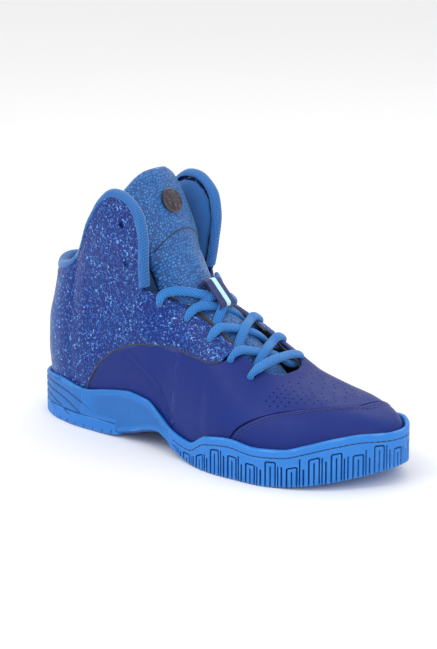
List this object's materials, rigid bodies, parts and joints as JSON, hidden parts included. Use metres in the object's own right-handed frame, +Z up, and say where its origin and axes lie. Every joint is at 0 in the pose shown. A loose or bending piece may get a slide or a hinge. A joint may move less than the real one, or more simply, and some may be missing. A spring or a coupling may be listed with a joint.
{
  "type": "basketball high top",
  "caption": "Right-foot basketball high top with a cupsole, winged ankle collar, folding padded tongue top and a criss-crossed lace tucked inside.",
  "frame": {"origin": "on the ground under the middle of the shoe's length and width", "axes": "+X from heel to toe, +Y to the medial side, +Z up"},
  "size_m": [0.302, 0.1141, 0.192],
  "materials": {
    "rubber_sole": "matte moulded rubber",
    "shank": "satin moulded plastic",
    "heel_cup": "matte moulded rubber with flow grooves",
    "midsole": "matte moulded foam rubber",
    "vamp": "smooth coated synthetic leather, dark royal blue",
    "stiffener": "matte",
    "dark_lining": "fine knit lining",
    "speckled_quarter": "smooth coated synthetic with printed light speckles",
    "heel_strip": "smooth coated synthetic, light blue",
    "collar_lining": "brushed knit over foam",
    "binding": "folded tape",
    "board": "stitched fibre board",
    "sockliner": "knit over foam",
    "tongue_mesh": "embossed coated mesh over foam",
    "keeper": "woven tape",
    "reflective": "reflective film",
    "emblem": "raised moulded badge",
    "lace": "braided polyester",
    "aglet": "clear film tip"
  },
  "bodies": {
    "shoe": {"outsole_forefoot": "rubber_sole", "outsole_heel": "rubber_sole", "shank_plate": "shank", "heel_cup": "heel_cup", "midsole": "midsole", "vamp": "vamp", "toe_cap": "vamp", "toe_puff": "stiffener", "vamp_lining": "dark_lining", "quarter_lateral": "speckled_quarter", "quarter_medial": "speckled_quarter", "side_panel_lateral": "vamp", "side_panel_medial": "vamp", "backstay": "heel_strip", "heel_tab": "heel_strip", "heel_counter": "stiffener", "collar_foam": "collar_lining", "heel_lining": "dark_lining", "collar_binding": "binding", "eyestay_backing_lateral": "dark_lining", "eyestay_backing_medial": "dark_lining", "side_lining_lateral": "dark_lining", "side_lining_medial": "dark_lining", "insole_board": "board", "sockliner": "sockliner", "tongue_lower": "tongue_mesh", "tongue_lining": "dark_lining", "lace_keeper": "keeper", "keeper_stripe": "reflective", "lace": "lace", "aglet_lateral": "aglet", "aglet_medial": "aglet"},
    "tongue_top": {"tongue_upper": "tongue_mesh", "tongue_emblem": "emblem"}
  },
  "joints": [
    {"name": "tongue_fold", "type": "hinge", "parent": "shoe", "child": "tongue_top", "pos_m": [-0.03145, 0, 0.13453], "axis": [0, 1, 0], "range_deg": [-8, 25], "stiffness_Nm_per_rad": 0.06}
  ]
}
